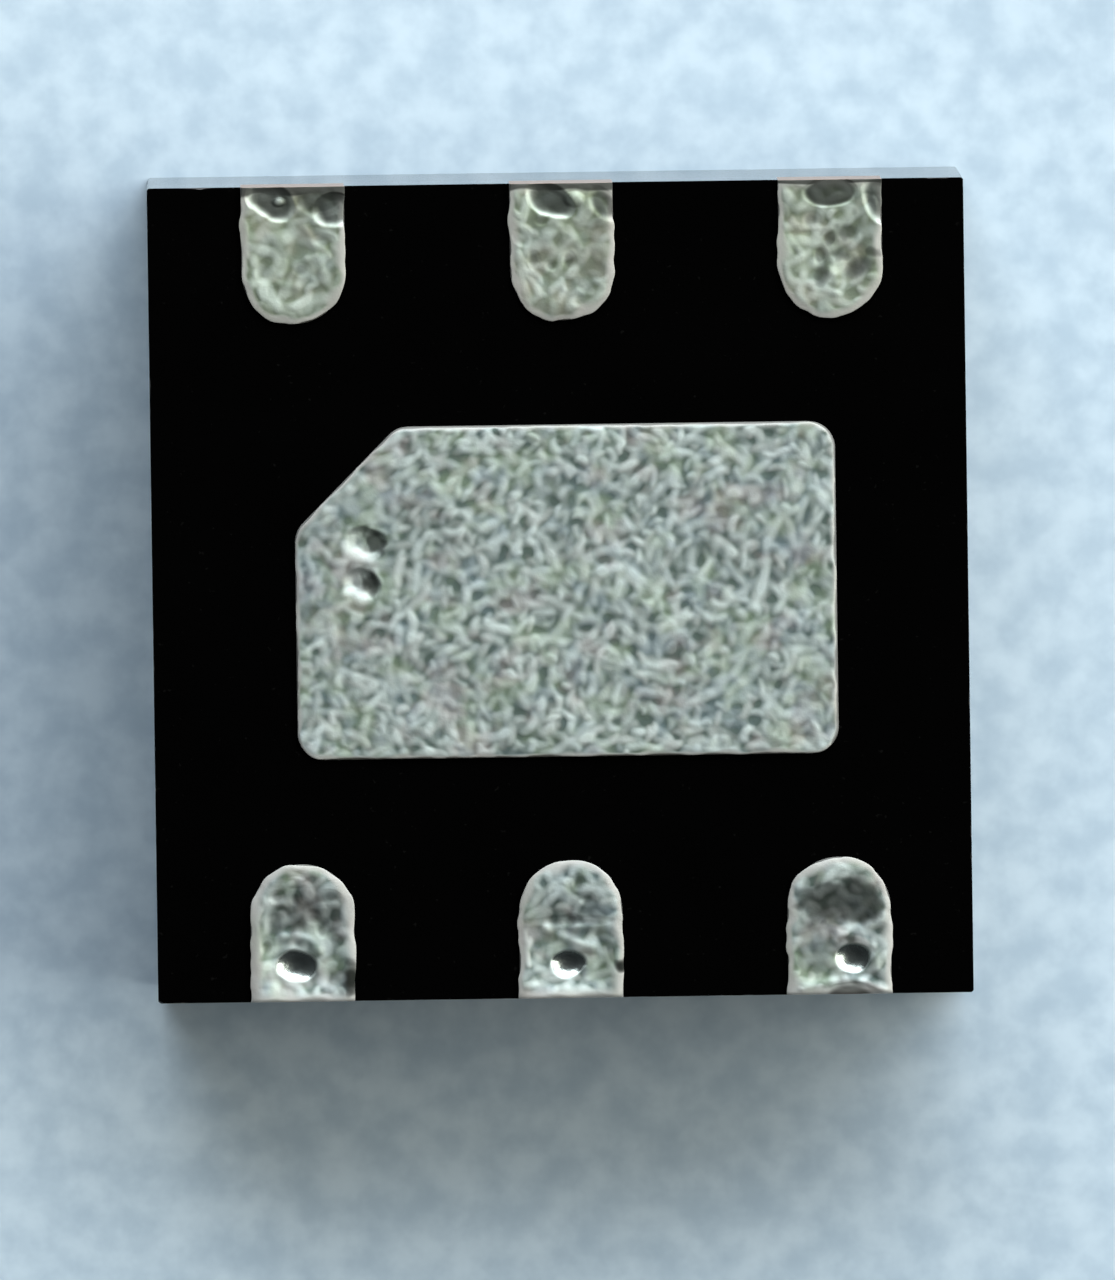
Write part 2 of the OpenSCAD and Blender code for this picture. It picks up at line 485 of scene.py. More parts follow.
def line_distance(x, y, points):
    """Distance to a line through points: the least of the distances to the nearest place on each stretch."""
    nearest = np.full_like(x, np.inf)
    for (from_x, from_y), (to_x, to_y) in zip(points, points[1:]):
        run_x = to_x - from_x
        run_y = to_y - from_y
        share = ((x - from_x) * run_x + (y - from_y) * run_y) / (run_x**2 + run_y**2)
        share = np.clip(share, 0, 1)
        nearest = np.minimum(nearest, np.hypot(x - from_x - share * run_x, y - from_y - share * run_y))
    return nearest


# Relief of a solder face. Across runs along X from the middle, and along is the distance from the saw cut,
# or runs along Y on the pad.
# A dent is an oval hollow, or a bump where its depth is below 0. Its turn is in degrees, its wall is the
# share of its radius that slopes, its stain is how dark its floor is, as stain and painted shade together,
# and its polish is how shiny the probe pressed it. Its lean, on the pad, is how much narrower and steeper
# its wall is on the lit side.
Dent = namedtuple(
    "Dent", "across along half_w half_l turn depth wall stain polish lean", defaults=[0.0, 0.0])
# A ridge runs through its points, and its section is a bell curve.
Ridge = namedtuple("Ridge", "points half_w height")
# A dish is a broad hollow inside the rim, with a fall from the saw cut and a rise to the round end. Its
# stain value is painted shade: how dark the rise is.
Dish = namedtuple("Dish", "depth side_w fall_to rise_from rise_to stain")
# The form of a lead's face: its hollows and ridges, the width of the band that the saw smeared, the width
# of the rounded edge at the saw cut, how much of the grain shows, and how far the rim drops
LeadForm = namedtuple("LeadForm", "dish dents ridges smear cut_edge grain crown")
# What a solder face has at each point: its height, how stained and darkened by painted shade, polished and
# high in the grain it is, its tint, and how much it belongs to the smooth rim
Face = namedtuple("Face", "height stain polish crest tint rim")
# What the sides and the floor below it have
BARE = Face(height=0.0, stain=0.0, polish=0.0, crest=CREST_REST, tint=0.5, rim=1.0)

LEAD_FORMS = {
    1: LeadForm(
        Dish(0.0045, 0.06, 0.12, 0.22, 0.33, 0.0),
        [
            Dent(-0.050, 0.037, 0.066, 0.042, 25, 0.0070, 0.5, 0.75, 0.3),
            Dent(0.101, 0.058, 0.052, 0.045, 5, 0.0080, 0.5, 0.66, 0.3),
            Dent(0.070, 0.030, 0.075, 0.045, 0, 0.0016, 0.6, 0.80),
            Dent(-0.032, 0.037, 0.018, 0.012, 0, -0.0040, 1.0, 0.0),
            Dent(0.020, 0.200, 0.024, 0.020, 0, 0.0019, 1.0, 0.35),
            Dent(-0.070, 0.205, 0.026, 0.030, 0, 0.0016, 1.0, 0.22),
            Dent(0.075, 0.130, 0.030, 0.018, 0, 0.0016, 1.0, 0.25),
        ],
        [
            Ridge([(0.030, 0.100), (0.055, 0.150), (0.072, 0.205)], 0.012, 0.0019),
            Ridge([(-0.040, 0.236), (0.005, 0.242)], 0.012, 0.0022),
            Ridge([(-0.030, 0.128), (-0.022, 0.150)], 0.020, 0.0022),
        ],
        smear=0.026, cut_edge=0.004, grain=1.2, crown=0.0024,
    ),
    2: LeadForm(
        Dish(0.0045, 0.06, 0.12, 0.22, 0.33, 0.0),
        [
            Dent(-0.026, 0.042, 0.064, 0.040, 28, 0.0070, 0.5, 0.78, 0.3),
            Dent(0.033, 0.038, 0.028, 0.020, 0, -0.0050, 1.0, 0.0),
            Dent(0.104, 0.050, 0.048, 0.034, 45, 0.0026, 0.6, 0.74),
            Dent(-0.047, 0.093, 0.020, 0.012, 0, 0.0019, 1.0, 0.35),
            Dent(-0.095, 0.130, 0.028, 0.024, 30, 0.0016, 1.0, 0.20),
            Dent(-0.068, 0.185, 0.018, 0.024, 0, 0.0022, 1.0, 0.45),
            Dent(-0.025, 0.200, 0.018, 0.016, 10, 0.0022, 1.0, 0.40),
            Dent(0.018, 0.186, 0.018, 0.024, 0, 0.0022, 1.0, 0.40),
            Dent(0.055, 0.250, 0.030, 0.018, 40, 0.0016, 1.0, 0.25),
        ],
        [
            Ridge([(0.010, 0.130), (0.025, 0.135)], 0.016, 0.0022),
            Ridge([(0.055, 0.048), (0.085, 0.078), (0.113, 0.095)], 0.012, 0.0016),
            Ridge([(-0.010, 0.290), (0.020, 0.300)], 0.024, 0.0026),
        ],
        smear=0.020, cut_edge=0.004, grain=1.2, crown=0.0024,
    ),
    3: LeadForm(
        Dish(0.0075, 0.07, 0.12, 0.20, 0.33, 0.10),
        [
            Dent(0.002, 0.030, 0.066, 0.040, 0, 0.0036, 0.3, 0.84),
            Dent(0.122, 0.050, 0.044, 0.064, -18, 0.0085, 0.5, 0.70, 0.3),
            Dent(-0.045, 0.098, 0.026, 0.024, -15, 0.0022, 1.0, 0.45),
            Dent(0.041, 0.129, 0.032, 0.028, 0, 0.0007, 1.0, 0.60),
            Dent(-0.002, 0.142, 0.022, 0.028, 0, 0.0007, 1.0, 0.58),
            Dent(0.024, 0.183, 0.028, 0.018, 0, 0.0007, 1.0, 0.58),
            Dent(0.070, 0.214, 0.058, 0.034, -30, 0.0016, 1.0, 0.75),
            Dent(0.101, 0.178, 0.024, 0.022, 0, 0.0007, 1.0, 0.60),
            Dent(-0.020, 0.230, 0.028, 0.048, 10, 0.0016, 1.0, 0.68),
            Dent(-0.024, 0.183, 0.018, 0.028, 0, 0.0019, 0.8, 0.50),
        ],
        [
            Ridge([(0.000, 0.222), (0.012, 0.236), (0.012, 0.272)], 0.012, 0.0032),
            Ridge([(-0.075, 0.060), (-0.070, 0.180)], 0.022, 0.0032),
        ],
        smear=0.012, cut_edge=0.004, grain=1.2, crown=0.0024,
    ),
    4: LeadForm(
        Dish(0.0075, 0.07, 0.050, 0.15, 0.31, 0.80),
        [
            Dent(0.033, 0.088, 0.045, 0.038, 0, 0.0125, 0.95, 0.35, 1.0),
            Dent(0.025, -0.004, 0.070, 0.034, 0, 0.0030, 0.6, 0.80),
            Dent(-0.060, 0.110, 0.056, 0.070, 0, 0.0006, 0.7, 0.42),
            Dent(-0.028, 0.226, 0.088, 0.058, 12, 0.0007, 0.6, 0.80),
            Dent(0.044, 0.224, 0.080, 0.066, -20, 0.0007, 0.6, 0.84),
        ],
        [
            Ridge([(-0.012, 0.135), (0.005, 0.150), (0.043, 0.158), (0.073, 0.164)], 0.015, 0.0026),
            Ridge(
                [(-0.008, 0.130), (0.020, 0.141), (0.055, 0.138), (0.084, 0.110), (0.090, 0.060)],
                0.012, 0.0038,
            ),
            Ridge(
                [(-0.090, 0.014), (-0.020, 0.032), (0.030, 0.036), (0.065, 0.030), (0.102, 0.008)],
                0.010, 0.0032,
            ),
        ],
        smear=0.0, cut_edge=0.010, grain=1.0, crown=0.0036,
    ),
    5: LeadForm(
        Dish(0.011, 0.07, 0.055, 0.13, 0.30, 0.35),
        [
            Dent(-0.008, 0.083, 0.044, 0.036, 0, 0.0120, 0.95, 0.30, 1.0),
            Dent(0.118, 0.076, 0.022, 0.024, 0, 0.0006, 1.0, 1.0),
            Dent(0.000, 0.186, 0.115, 0.015, 0, 0.0022, 1.0, 0.50),
            Dent(0.004, 0.190, 0.026, 0.017, 0, 0.0022, 1.0, 0.60),
            Dent(-0.030, 0.250, 0.030, 0.045, 0, -0.0022, 1.0, 0.0),
            Dent(0.020, 0.280, 0.016, 0.025, 0, 0.0019, 1.0, 0.40),
            Dent(0.040, 0.240, 0.022, 0.020, 0, 0.0022, 1.0, 0.45),
        ],
        [
            Ridge([(-0.060, 0.170), (0.020, 0.166), (0.100, 0.170)], 0.013, 0.0019),
            Ridge([(-0.056, 0.162), (-0.016, 0.145), (0.048, 0.124)], 0.013, 0.0042),
        ],
        smear=0.0, cut_edge=0.014, grain=1.0, crown=0.0036,
    ),
    6: LeadForm(
        Dish(0.012, 0.07, 0.058, 0.15, 0.32, 0.60),
        [
            Dent(-0.016, 0.086, 0.050, 0.041, 0, 0.0130, 0.95, 0.35, 1.0),
            Dent(0.118, 0.054, 0.034, 0.056, 12, 0.0008, 1.0, 1.0),
            Dent(-0.059, 0.254, 0.022, 0.018, 0, 0.0022, 1.0, 0.50),
            Dent(-0.019, 0.247, 0.012, 0.016, 0, 0.0019, 1.0, 0.45),
            Dent(0.070, 0.254, 0.026, 0.020, 0, 0.0022, 1.0, 0.50),
            Dent(0.026, 0.205, 0.020, 0.020, 0, 0.0022, 1.0, 0.55),
            Dent(0.048, 0.178, 0.020, 0.030, 0, 0.0022, 1.0, 0.50),
            Dent(-0.072, 0.187, 0.020, 0.032, 0, 0.0022, 1.0, 0.45),
            Dent(-0.085, 0.135, 0.020, 0.028, 0, 0.0022, 1.0, 0.50),
            Dent(-0.014, 0.289, 0.026, 0.014, 0, -0.0022, 1.0, 0.0),
            Dent(0.044, 0.227, 0.016, 0.016, 0, -0.0019, 1.0, 0.0),
        ],
        [
            Ridge([(-0.046, 0.158), (-0.015, 0.158), (0.018, 0.146), (0.040, 0.118)], 0.013, 0.0042),
            Ridge([(-0.045, 0.235), (-0.022, 0.212), (-0.005, 0.240)], 0.009, 0.0019),
        ],
        smear=0.0, cut_edge=0.012, grain=1.0, crown=0.0036,
    ),
}

# Dents on the pad, from its middle, and the dark marks on their steep sides, which are painted shade
PAD_DENTS = [
    Dent(-0.490, 0.113, 0.058, 0.048, 0, 0.0095, 0.64, 0.10, 0.30, 0.58),
    Dent(-0.499, 0.016, 0.051, 0.045, 0, 0.0095, 0.64, 0.10, 0.30, 0.58),
    # Painted shade: dark marks on the steep sides of the two pits above
    Dent(-0.462, 0.124, 0.028, 0.040, 32, 0.0006, 0.8, 0.80),
    Dent(-0.473, 0.025, 0.024, 0.037, 22, 0.0006, 0.8, 0.86),
]


def dented(across, along, dents, seed):
    """Height, stain and painted shade, and polish of dents. With t the distance inside an oval's uneven rim,
    as a share of its wall, a dent is -depth * t * (2 - t), and flat inside the wall. Where it leans, the
    wall is narrower on the lit side, and away from it t is first raised to a power that grows, so that the
    wall starts gently. The stain and painted shade cover the floor, and a bump clears them."""
    wobble = np.tanh(waves(across, along, DENT_WAVE, seed))
    crinkle = np.tanh(waves(across, along, CRINKLE, seed + 50))
    height = np.zeros_like(across)
    stain = np.zeros_like(across)
    polish = np.zeros_like(across)
    for dent in dents:
        turn = math.radians(dent.turn)
        right = across - dent.across
        up = along - dent.along
        first = (right * math.cos(turn) + up * math.sin(turn)) / dent.half_w
        second = (up * math.cos(turn) - right * math.sin(turn)) / dent.half_l
        pressed = smooth(abs(dent.depth), WIPED_DEPTH, PRESSED_DEPTH)
        ragged = min(CRINKLE_LIMIT, CRINKLE_REACH / dent.half_w) * (1 - pressed)
        radius = np.hypot(first, second) * (1 + DENT_UNEVENNESS * wobble + ragged * crinkle)
        lit = (LIT_X * first + LIT_Y * second) / np.maximum(radius, 1e-6)
        inside = np.clip((1 - radius) / (dent.wall * (1 - dent.lean * lit)), 0, 1)
        inside = inside ** (1 + dent.lean * (1 - lit))
        bowl = inside * (2 - inside)
        floor = smooth(bowl, STAIN_AND_SHADE_FROM + PRESSED_LATER * pressed, STAIN_AND_SHADE_WHOLE)
        height -= dent.depth * bowl
        polish = np.maximum(polish, dent.polish * smooth(bowl, 0, POLISH_WHOLE))
        if dent.depth > 0:
            stain = np.maximum(stain, dent.stain * floor)
        else:
            stain *= 1 - floor
    return height, stain, polish


def ridged(across, along, ridges):
    """Height of ridges: a bell curve of the distance to each ridge's line."""
    height = np.zeros_like(across)
    for ridge in ridges:
        apart = line_distance(across, along, ridge.points) / ridge.half_w
        height += ridge.height * np.exp(-(apart**2))
    return height


def dished(edge, across, along, dish):
    """Height and painted shade of a dish: the product of smooth steps inside the rim, at its fall and at its
    rise, which bows with the round end. The painted shade is on the lower part of the rise."""
    sides = smooth(edge, DISH_FROM, dish.side_w)
    fall = smooth(along, 0, dish.fall_to)
    rise = smooth(along + across**2 / LEAD_W, dish.rise_from, dish.rise_to)
    dark = smooth(rise, 0, RISE_SHADE_WHOLE) * (1 - smooth(rise, *RISE_SHADE_FADES))
    return -dish.depth * sides * fall * (1 - rise), dish.stain * sides * dark


def rounded(distance, width, share=EDGE_DROP):
    """Drop of a rounded edge at a distance inside it: a quarter of an ellipse, whose height is a share of
    its width."""
    inside = np.clip(1 - distance / width, 0, 1)
    return share * width * (1 - np.sqrt(1 - inside**2))


def edge_width(lit, wobble):
    """How wide the pad's edge is rounded: from sharp to worn as it turns to the light, and uneven."""
    return (SHARP_EDGE + (WORN_EDGE - SHARP_EDGE) * lit) * (1 + EDGE_UNEVENNESS * wobble)


def crowned(edge, width, drop):
    """Drop of a gently crowned rim: a parabola that starts that far inside the edge."""
    return drop * np.clip(1 - edge / width, 0, 1) ** 2


def worn_outline(across, along, edge, facing, drawn_in, stray, seed):
    """Plan of a face whose outline is uneven: each point near it moves against the direction that its
    nearest edge faces, by what is drawn in plus a sum of long and short random waves."""
    uneven = LONG_SHARE * np.tanh(waves(across, along, LONG_STRAY, seed))
    uneven += SHORT_SHARE * np.tanh(waves(across, along, SHORT_STRAY, seed + 60))
    wear = (drawn_in + stray * uneven) * (1 - smooth(edge, 0, STRAY_REACH))
    return across - wear * facing[0], along - wear * facing[1]


def grid_faces(rows, columns):
    """Quads of a grid of points, counter-clockwise where columns run to +X and rows to +Y."""
    corner = np.arange(rows)[:, None] * (columns + 1) + np.arange(columns)
    quads = np.stack([corner, corner + 1, corner + columns + 2, corner + columns + 1], axis=-1)
    return quads.reshape(-1, 4)


def rim(grid):
    """The boundary of a grid, as one loop that runs counter-clockwise seen from above."""
    return np.concatenate([grid[0], grid[1:, -1], grid[-1, -2::-1], grid[-2:0:-1, 0]])


def shell(top, loops):
    """Points and faces of a closed shell: a grid on top, loops carried down from its boundary, and a flat
    floor inside the last loop."""
    rows, columns = top.shape[:2]
    order = np.arange(rows * columns).reshape(rows, columns)
    ring = rim(order)
    points = [top.reshape(-1, 3)]
    faces = grid_faces(rows - 1, columns - 1).tolist()
    used = order.size
    for loop in loops:
        lower = used + np.arange(len(loop))
        quads = np.stack([ring, lower, np.roll(lower, -1), np.roll(ring, -1)], axis=-1)
        faces += quads.tolist()
        points.append(loop)
        ring = lower
        used += len(loop)
    faces.append(ring[::-1].tolist())
    return np.concatenate(points), faces


def at_height(plan, z):
    """A loop or grid of plan points, lifted to one level."""
    return np.concatenate([plan, np.full((*plan.shape[:-1], 1), z)], axis=-1)


def dress_node(piece, node):
    """The piece rides on the chip and stands for a node of the frame."""
    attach(piece, "root")
    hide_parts(node)


def plated_piece(name, node, finish, worn, plan, face, ledge, sawn_axis):
    """A plated piece of the lead frame: its solder face as a grid of heights over its worn plan, and below
    it straight sides, a half-etched ledge and a flat floor. It was sawn at the chip's sides on that axis."""
    top = np.concatenate([worn, SOLDER_Z + face.height[..., None]], axis=-1)
    sides = rim(plan)
    loops = [
        at_height(sides, MOULD_TOP_Z),
        at_height(sides, LEDGE_Z),
        at_height(ledge, LEDGE_Z),
        at_height(ledge, FRAME_Z),
    ]
    points, faces = shell(top, loops)
    below = len(points) - face.height.size
    cut = np.abs(points[:, sawn_axis]) > (HALF_W, HALF_D)[sawn_axis] - SAWN_WITHIN
    attributes = {"cut": cut.astype(float)}
    for key in ("stain", "polish", "crest", "tint", "rim"):
        bare = np.full(below, getattr(BARE, key))
        attributes[key] = np.concatenate([getattr(face, key).ravel(), bare])
    mesh = bpy.data.meshes.new(name)
    mesh.from_pydata((points * MM).tolist(), [], faces)
    for key, values in attributes.items():
        layer = mesh.attributes.new(key, "FLOAT", "POINT")
        layer.data.foreach_set("value", np.ascontiguousarray(values, np.float32))
    mesh.materials.append(finish)
    mesh.shade_smooth()
    mesh.set_sharp_from_angle(angle=math.radians(PLATING_SHARP))
    piece = bpy.data.objects.new(name, mesh)
    bpy.context.scene.collection.objects.link(piece)
    dress_node(piece, node)


def lead_plan(length):
    """Plan of a lead on a grid: across is half the width times the sine of the column's angle, and along
    runs in rows from the saw cut to the round end, whose reach is the cosine of that angle."""
    angle = np.linspace(-math.pi / 2, math.pi / 2, LEAD_COLUMNS + 1)
    share = (1 - np.cos(np.linspace(0, math.pi, LEAD_ROWS + 1))) / 2
    half = LEAD_W / 2
    across = np.broadcast_to(half * np.sin(angle), (LEAD_ROWS + 1, LEAD_COLUMNS + 1))
    along = share[:, None] * (length - half + half * np.cos(angle))
    return across, along


def lead_edge(across, along):
    """Distance inside a lead's straight sides and round end, and the direction that the nearest edge faces:
    half the width less the distance to the middle line, which ends at the middle of the round end."""
    half = LEAD_W / 2
    over = np.clip(along - (LEAD_L - half), 0, None)
    reach = np.maximum(np.hypot(across, over), 1e-9)
    return half - reach, (across / reach, over / reach)


def lead_face(number, across, along):
    """A lead's solder face: the sum of a dish, dents and ridges, of a heap of grains inside the smooth rim
    and low swells, less the drop of its rim and its rounded edges. Its stain and painted shade together
    are the darkest of its marks."""
    form = LEAD_FORMS[number]
    seed = LEAD_SEED_STEP * number
    edge, _ = lead_edge(across, along)
    wobble = np.tanh(waves(across, along, RIM_WAVE, seed))
    uneven = 1 + RIM_UNEVENNESS * wobble
    heap, tint = heaped_grains(across, along, LEAD_GRAIN, seed + 1)
    inner = smooth(edge * uneven, LEAD_GRAIN_FROM, LEAD_GRAIN_WHOLE) * smooth(along, 0, CUT_GRAIN_WHOLE)
    height, stain, polish = dented(across, along, form.dents, seed + 3)
    dish_height, dish_shade = dished(edge, across, along, form.dish)
    height += dish_height
    height += ridged(across, along, form.ridges)
    grain = form.grain * inner * (1 - polish)
    height += GRAIN_H * (heap - 0.5) * grain + swells(across, along, seed + 4)
    height -= crowned(edge, LEAD_CROWN_W, form.crown) + rounded(edge, SHARP_EDGE, LEAD_EDGE_DROP)
    height -= rounded(along, form.cut_edge * uneven)
    # Painted shade on the dish's rise, cleared on the grain's crests
    stain = np.maximum(stain, dish_shade * (1 - CREST_CLEARS * heap))
    if form.smear > 0:
        band = 1 - smooth(along + SMEAR_WAVER * wobble, SMEAR_WHOLE * form.smear, form.smear)
        stain = np.maximum(stain, SMEAR_STAIN * band)
    return Face(height, stain, polish, crest_level(heap, grain), tint, 1 - inner)


def build_lead(number, finish):
    """A lead: its plan is set out from the saw cut at its own side of the chip. Its distance from the pad's
    middle is rounded to hundredths, because the frame's points are in single precision."""
    low, high = box_mm(f"lead_{number}")
    side = 1 if number <= LEADS_PER_SIDE else -1
    centre_x = PAD_X + round((low.x + high.x) / 2 - PAD_X, 2)

    def upwards(grid):
        """The rows of a grid, in their order towards +Y."""
        return grid[::-1] if side > 0 else grid

    def placed(across, along):
        """Points of the chip's plan."""
        return upwards(np.stack([centre_x + across, side * (HALF_D - along)], axis=-1))

    across, along = lead_plan(LEAD_L)
    edge, facing = lead_edge(across, along)
    seed = LEAD_SEED_STEP * number + 2
    worn = worn_outline(across, along, edge, facing, LEAD_DRAWN_IN, LEAD_STRAY, seed)
    face = Face(*[upwards(field) for field in lead_face(number, across, along)])
    plan = placed(across, along)
    ledge = rim(placed(*lead_plan(LEAD_L + LEDGE_W)))
    plated_piece(
        f"plated_lead_{number}", f"lead_{number}", finish, placed(*worn), plan, face, ledge, sawn_axis=1)


def pad_arcs(grow):
    """Middles of the arcs at the corners of the pad's outline, grown by that much, counter-clockwise from
    +X +Y, and their radius. The second and third are the ends of the cut corner."""
    half_w = PAD_W / 2 + grow
    half_d = PAD_D / 2 + grow
    radius = PAD_CORNER_R + grow
    chamfer = PAD_CHAMFER + grow * (2 - math.sqrt(2))
    bend = radius * math.tan(math.pi / 8)
    middles = [
        (half_w - radius, half_d - radius),
        (chamfer + bend - half_w, half_d - radius),
        (radius - half_w, half_d - chamfer - bend),
        (radius - half_w, radius - half_d),
        (half_w - radius, radius - half_d),
    ]
    return middles, radius


def pad_plan(grow):
    """Plan of the pad on a grid, grown by that much all round: rows run up in y, crowded towards the long
    edges by a share of a sine, and columns run from the left outline to the right one. The left outline is
    an arc, a straight side, an arc, a line at 45 degrees and an arc."""
    middles, radius = pad_arcs(grow)
    share = np.linspace(-1, 1, PAD_ROWS + 1)
    crowded = (1 - PAD_CROWDING) * share + PAD_CROWDING * np.sin(share * math.pi / 2)
    y = (PAD_D / 2 + grow) * crowded

    def arc(middle):
        """Reach of a corner's circle, sideways from its middle, in each row."""
        return np.sqrt(np.clip(radius**2 - (y - middle[1]) ** 2, 0, None))

    first, second, third, fourth, _ = middles
    slant = radius / math.sqrt(2)
    left = np.select(
        [y > second[1] + slant, y > third[1] + slant, y > third[1], y > fourth[1]],
        [
            second[0] - arc(second),
            y + second[0] - second[1] - 2 * slant,
            third[0] - arc(third),
            np.full_like(y, third[0] - radius),
        ],
        fourth[0] - arc(fourth),
    )
    over = np.clip(np.abs(y) - first[1], 0, radius)
    right = first[0] + np.sqrt(radius**2 - over**2)
    column = np.linspace(0, 1, PAD_COLUMNS + 1)
    x = left[:, None] + (right - left)[:, None] * column
    return np.stack([PAD_X + x, np.broadcast_to(y[:, None], x.shape)], axis=-1)


def with_tie_bars(plan):
    """The grown plan's boundary with the tie bars: the rows inside their width are stretched to fill it, and
    the ends of these rows are moved out to the chip's sides."""
    plan = plan.copy()
    y = plan[:, 0, 1]
    inside = np.abs(y) < TIE_W / 2
    stretch = TIE_W / 2 / np.abs(y[inside]).max()
    plan[inside, :, 1] *= stretch
    plan[inside, 0, 0] = -HALF_W
    plan[inside, -1, 0] = HALF_W
    return rim(plan)


def pad_edge(x, y):
    """Distance inside the pad's outline, and the direction that the nearest edge faces. The distance is the
    corner radius less the distance to the line through the middles of the corner arcs, or plus it inside
    that line."""
    middles, radius = pad_arcs(0)
    turns = np.radians([0, 90, 135, 180, 270])
    beyond = np.stack([
        (x - middle[0]) * math.cos(turn) + (y - middle[1]) * math.sin(turn)
        for middle, turn in zip(middles, turns)
    ])
    apart = line_distance(x, y, [*middles, middles[0]])
    edge = radius - np.where(beyond.max(axis=0) > 0, apart, -apart)
    share = np.exp((beyond - beyond.max(axis=0)) / FACING_BLEND)
    share = share / share.sum(axis=0)
    facing = (np.tensordot(np.cos(turns), share, 1), np.tensordot(np.sin(turns), share, 1))
    return np.clip(edge, 0, None), facing


def pad_face(x, y):
    """The pad's solder face: the sum of its dents, of a heap of grains inside the smooth rim and low swells,
    less the drop of its rim and its rounded edges."""
    edge, facing = pad_edge(x, y)
    lit = smooth(LIT_X * facing[0] + LIT_Y * facing[1], 0, FULLY_LIT)
    wobble = np.tanh(waves(x, y, RIM_WAVE, PAD_SEED + 3))
    heap, tint = heaped_grains(x, y, PAD_GRAIN, PAD_SEED + 1)
    inner = smooth(edge * (1 + RIM_UNEVENNESS * wobble), 0, PAD_GRAIN_WHOLE)
    height, stain, polish = dented(x, y, PAD_DENTS, PAD_SEED + 4)
    grain = inner * (1 - polish)
    height += GRAIN_H * (heap - 0.5) * grain + swells(x, y, PAD_SEED + 5)
    height -= crowned(edge, PAD_CROWN_W, PAD_CROWN_DROP) + rounded(edge, edge_width(lit, wobble))
    return Face(height, stain, polish, crest_level(heap, grain), tint, 1 - inner)


def build_pad(finish):
    """The exposed pad, with its half-etched rim and tie bars."""
    plan = pad_plan(0)
    x = plan[..., 0] - PAD_X
    y = plan[..., 1]
    edge, facing = pad_edge(x, y)
    worn_x, worn_y = worn_outline(x, y, edge, facing, PAD_DRAWN_IN, PAD_STRAY, PAD_SEED + 2)
    worn = np.stack([PAD_X + worn_x, worn_y], axis=-1)
    ledge = with_tie_bars(pad_plan(LEDGE_W))
    plated_piece("plated_pad", "exposed_pad", finish, worn, plan, pad_face(x, y), ledge, sawn_axis=0)


def block_path(half, corner_r):
    """A square path with round corners, and the outward direction at each of its points: a quarter of a
    circle and a straight side, four times over, each a quarter turn further."""
    quarter = np.linspace(0, math.pi / 2, UPRIGHT_POINTS)
    corner = np.stack([np.cos(quarter), np.sin(quarter)], axis=-1)
    quarter_turn = np.array([[0, -1], [1, 0]])
    path = []
    facing = []
    for turn in range(4):
        spin = np.linalg.matrix_power(quarter_turn, turn).T
        own_half = half if turn % 2 == 0 else half[::-1]
        arc = own_half - corner_r + corner_r * corner
        run = np.linspace(own_half[0] - corner_r, corner_r - own_half[0], SIDE_POINTS)[1:-1]
        straight = np.stack([run, np.full_like(run, own_half[1])], axis=-1)
        path += [arc @ spin, straight @ spin]
        facing += [corner @ spin, np.broadcast_to([0.0, 1.0], straight.shape) @ spin]
    return np.concatenate(path), np.concatenate(facing)


def chipped_block():
    """Points and faces of a block that is a hair larger than the moulding, but for its rounded edges: a
    profile of two quarter rounds, carried round a square path. The radius of the upper round grows by a
    bell curve at each random chip."""
    path, facing = block_path(np.array([HALF_W, HALF_D]) + BLOCK_CLEAR, UPRIGHT_EDGE_R)
    around = len(path)
    draw = np.random.default_rng(BLOCK_SEED)
    upper_r = np.full(around, UPPER_EDGE_R)
    place = np.arange(around)
    middles = draw.uniform(0, around, CHIPS)
    widths = draw.uniform(*CHIP_WIDTHS, CHIPS)
    depths = draw.uniform(*CHIP_DEPTHS, CHIPS)
    for middle, width, depth in zip(middles, widths, depths):
        apart = np.abs((place - middle + around / 2) % around - around / 2)
        upper_r += depth * np.exp(-((apart / width) ** 2))
    upper_r = upper_r[:, None]
    lower_r = np.full_like(upper_r, LOWER_EDGE_R)
    angle = np.linspace(0, math.pi / 2, EDGE_POINTS)
    inset = np.concatenate([lower_r * (1 - np.sin(angle)), upper_r * (1 - np.cos(angle))], axis=1)
    low_z = lower_r * (1 - np.cos(angle)) - BLOCK_CLEAR
    high_z = MOULD_TOP_Z + BLOCK_CLEAR - upper_r * (1 - np.sin(angle))
    z = np.concatenate([low_z, high_z], axis=1)
    plan = path[:, None, :] - facing[:, None, :] * inset[..., None]
    grid = np.concatenate([plan, z[..., None]], axis=-1)
    order = np.arange(z.size).reshape(z.shape)
    after = np.roll(order, -1, axis=0)
    quads = np.stack([order[:, :-1], after[:, :-1], after[:, 1:], order[:, 1:]], axis=-1)
    faces = quads.reshape(-1, 4).tolist()
    faces.append(order[::-1, 0].tolist())
    faces.append(order[:, -1].tolist())
    return grid.reshape(-1, 3), faces


def helper_object(name, mesh):
    """An object that only helps to make a piece."""
    helper = bpy.data.objects.new(name, mesh)
    bpy.context.scene.collection.objects.link(helper)
    return helper


